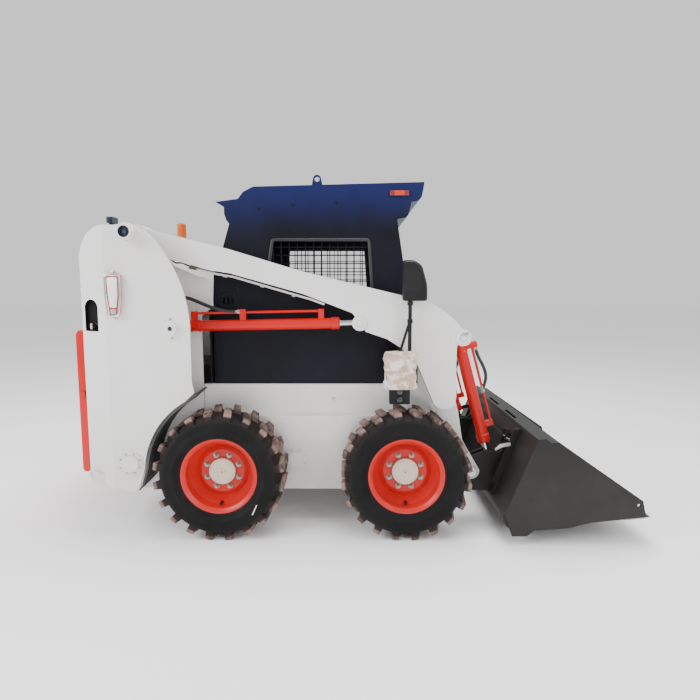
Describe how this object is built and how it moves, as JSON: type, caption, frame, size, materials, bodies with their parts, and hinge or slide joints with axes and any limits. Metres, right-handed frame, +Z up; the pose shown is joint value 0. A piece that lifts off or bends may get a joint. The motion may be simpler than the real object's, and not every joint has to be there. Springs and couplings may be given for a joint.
{
  "type": "skid steer loader",
  "caption": "Compact wheeled skid steer loader with a radial lift boom, a quick hitch with a low bucket, an open-fronted cab and a louvred tail door.",
  "frame": {"origin": "on the ground, at the middle of the overall length and width", "axes": "+X forward to the bucket, +Y to the machine's left, +Z up"},
  "size_m": [3.331, 1.68, 2.1379],
  "materials": {
    "white_paint": "gloss",
    "red_paint": "gloss",
    "black_paint": "satin",
    "cab_black": "satin",
    "tyre_rubber": "matt",
    "liner_rubber": "matt",
    "rod_chrome": "polished",
    "worn_steel": "worn",
    "engine_iron": "rough",
    "seat_cover": "matt",
    "black_plastic": "matt",
    "red_lens": "gloss",
    "orange_lens": "gloss"
  },
  "bodies": {
    "chassis": {"chassis_frame": "white_paint", "tower_right": "white_paint", "tower_left": "white_paint", "fender_liners": "liner_rubber", "engine_cover": "black_paint", "engine_block": "engine_iron", "round_covers": "white_paint", "tail_lamps": "red_lens", "work_lamp": "black_plastic", "beacon": "orange_lens", "cab_side_right": "cab_black", "cab_side_left": "cab_black", "side_screens": "cab_black", "cab_roof": "cab_black", "cab_rear": "cab_black", "cab_floor": "cab_black", "seat": "seat_cover", "control_levers": "black_plastic", "marker_lamps": "red_lens", "front_lamps": "black_plastic", "mirrors": "black_plastic"},
    "tail_door": {"tail_door": "red_paint"},
    "seat_bar": {"seat_bar": "black_paint"},
    "boom": {"boom_arm_right": "white_paint", "boom_arm_left": "white_paint", "boom_tubes": "white_paint"},
    "bucket": {"hitch": "black_paint", "bucket": "black_paint", "cutting_edge": "worn_steel"},
    "lift_barrel_right": {"lift_barrel_right": "red_paint"},
    "lift_rod_right": {"lift_rod_right": "rod_chrome"},
    "tilt_barrel_right": {"tilt_barrel_right": "red_paint"},
    "tilt_rod_right": {"tilt_rod_right": "rod_chrome"},
    "wheel_front_right": {"tyre_front_right": "tyre_rubber", "rim_front_right": "red_paint"},
    "wheel_rear_right": {"tyre_rear_right": "tyre_rubber", "rim_rear_right": "red_paint"},
    "lift_barrel_left": {"lift_barrel_left": "red_paint"},
    "lift_rod_left": {"lift_rod_left": "rod_chrome"},
    "tilt_barrel_left": {"tilt_barrel_left": "red_paint"},
    "tilt_rod_left": {"tilt_rod_left": "rod_chrome"},
    "wheel_front_left": {"tyre_front_left": "tyre_rubber", "rim_front_left": "red_paint"},
    "wheel_rear_left": {"tyre_rear_left": "tyre_rubber", "rim_rear_left": "red_paint"}
  },
  "joints": [
    {"name": "wheel_front_right_spin", "type": "hinge", "parent": "chassis", "child": "wheel_front_right", "pos_m": [0.2795, -0.668, 0.38], "axis": [0, 1, 0], "continuous": true},
    {"name": "wheel_front_left_spin", "type": "hinge", "parent": "chassis", "child": "wheel_front_left", "pos_m": [0.2795, 0.668, 0.38], "axis": [0, 1, 0], "continuous": true},
    {"name": "wheel_rear_right_spin", "type": "hinge", "parent": "chassis", "child": "wheel_rear_right", "pos_m": [-0.8055, -0.668, 0.38], "axis": [0, 1, 0], "continuous": true},
    {"name": "wheel_rear_left_spin", "type": "hinge", "parent": "chassis", "child": "wheel_rear_left", "pos_m": [-0.8055, 0.668, 0.38], "axis": [0, 1, 0], "continuous": true},
    {"name": "boom_lift", "type": "hinge", "parent": "chassis", "child": "boom", "pos_m": [-1.2755, 0, 1.767], "axis": [0, -1, 0], "range_deg": [0, 60]},
    {"name": "bucket_tilt", "type": "hinge", "parent": "boom", "child": "bucket", "pos_m": [0.7095, 0, 0.324], "axis": [0, 1, 0], "range_deg": [-20, 67]},
    {"name": "tail_door_swing", "type": "hinge", "parent": "chassis", "child": "tail_door", "pos_m": [-1.6435, 0.64, 0.775], "axis": [0, 0, -1], "range_deg": [0, 105]},
    {"name": "seat_bar_lift", "type": "hinge", "parent": "chassis", "child": "seat_bar", "pos_m": [-0.6205, 0, 1.5], "axis": [0, -1, 0], "range_deg": [0, 80]},
    {"name": "lift_barrel_right_turn", "type": "hinge", "parent": "chassis", "child": "lift_barrel_right", "pos_m": [-1.0535, -0.57, 1.235], "axis": [0, -1, 0], "range_deg": [0, 58]},
    {"name": "lift_rod_right_slide", "type": "slide", "parent": "lift_barrel_right", "child": "lift_rod_right", "axis": [0.9998, 0, 0.0197], "range_m": [0, 0.576]},
    {"name": "tilt_barrel_right_turn", "type": "hinge", "parent": "boom", "child": "tilt_barrel_right", "pos_m": [0.6165, -0.445, 1.171], "axis": [0, 1, 0], "range_deg": [-1, 2]},
    {"name": "tilt_rod_right_slide", "type": "slide", "parent": "tilt_barrel_right", "child": "tilt_rod_right", "axis": [0.2647, 0, -0.9643], "range_m": [-0.045, 0.15]},
    {"name": "lift_barrel_left_turn", "type": "hinge", "parent": "chassis", "child": "lift_barrel_left", "pos_m": [-1.0535, 0.57, 1.235], "axis": [0, -1, 0], "range_deg": [0, 58]},
    {"name": "lift_rod_left_slide", "type": "slide", "parent": "lift_barrel_left", "child": "lift_rod_left", "axis": [0.9998, 0, 0.0197], "range_m": [0, 0.576]},
    {"name": "tilt_barrel_left_turn", "type": "hinge", "parent": "boom", "child": "tilt_barrel_left", "pos_m": [0.6165, 0.445, 1.171], "axis": [0, 1, 0], "range_deg": [-1, 2]},
    {"name": "tilt_rod_left_slide", "type": "slide", "parent": "tilt_barrel_left", "child": "tilt_rod_left", "axis": [0.2647, 0, -0.9643], "range_m": [-0.045, 0.15]}
  ],
  "couplings": [
    {"joint": "lift_barrel_right_turn", "follows": "boom_lift", "ratio": 0.9503},
    {"joint": "lift_rod_right_slide", "follows": "boom_lift", "m_per_rad": 0.54657},
    {"joint": "tilt_barrel_right_turn", "follows": "bucket_tilt", "ratio": 0.012},
    {"joint": "tilt_rod_right_slide", "follows": "bucket_tilt", "m_per_rad": 0.1232},
    {"joint": "lift_barrel_left_turn", "follows": "boom_lift", "ratio": 0.9503},
    {"joint": "lift_rod_left_slide", "follows": "boom_lift", "m_per_rad": 0.54657},
    {"joint": "tilt_barrel_left_turn", "follows": "bucket_tilt", "ratio": 0.012},
    {"joint": "tilt_rod_left_slide", "follows": "bucket_tilt", "m_per_rad": 0.1232}
  ]
}
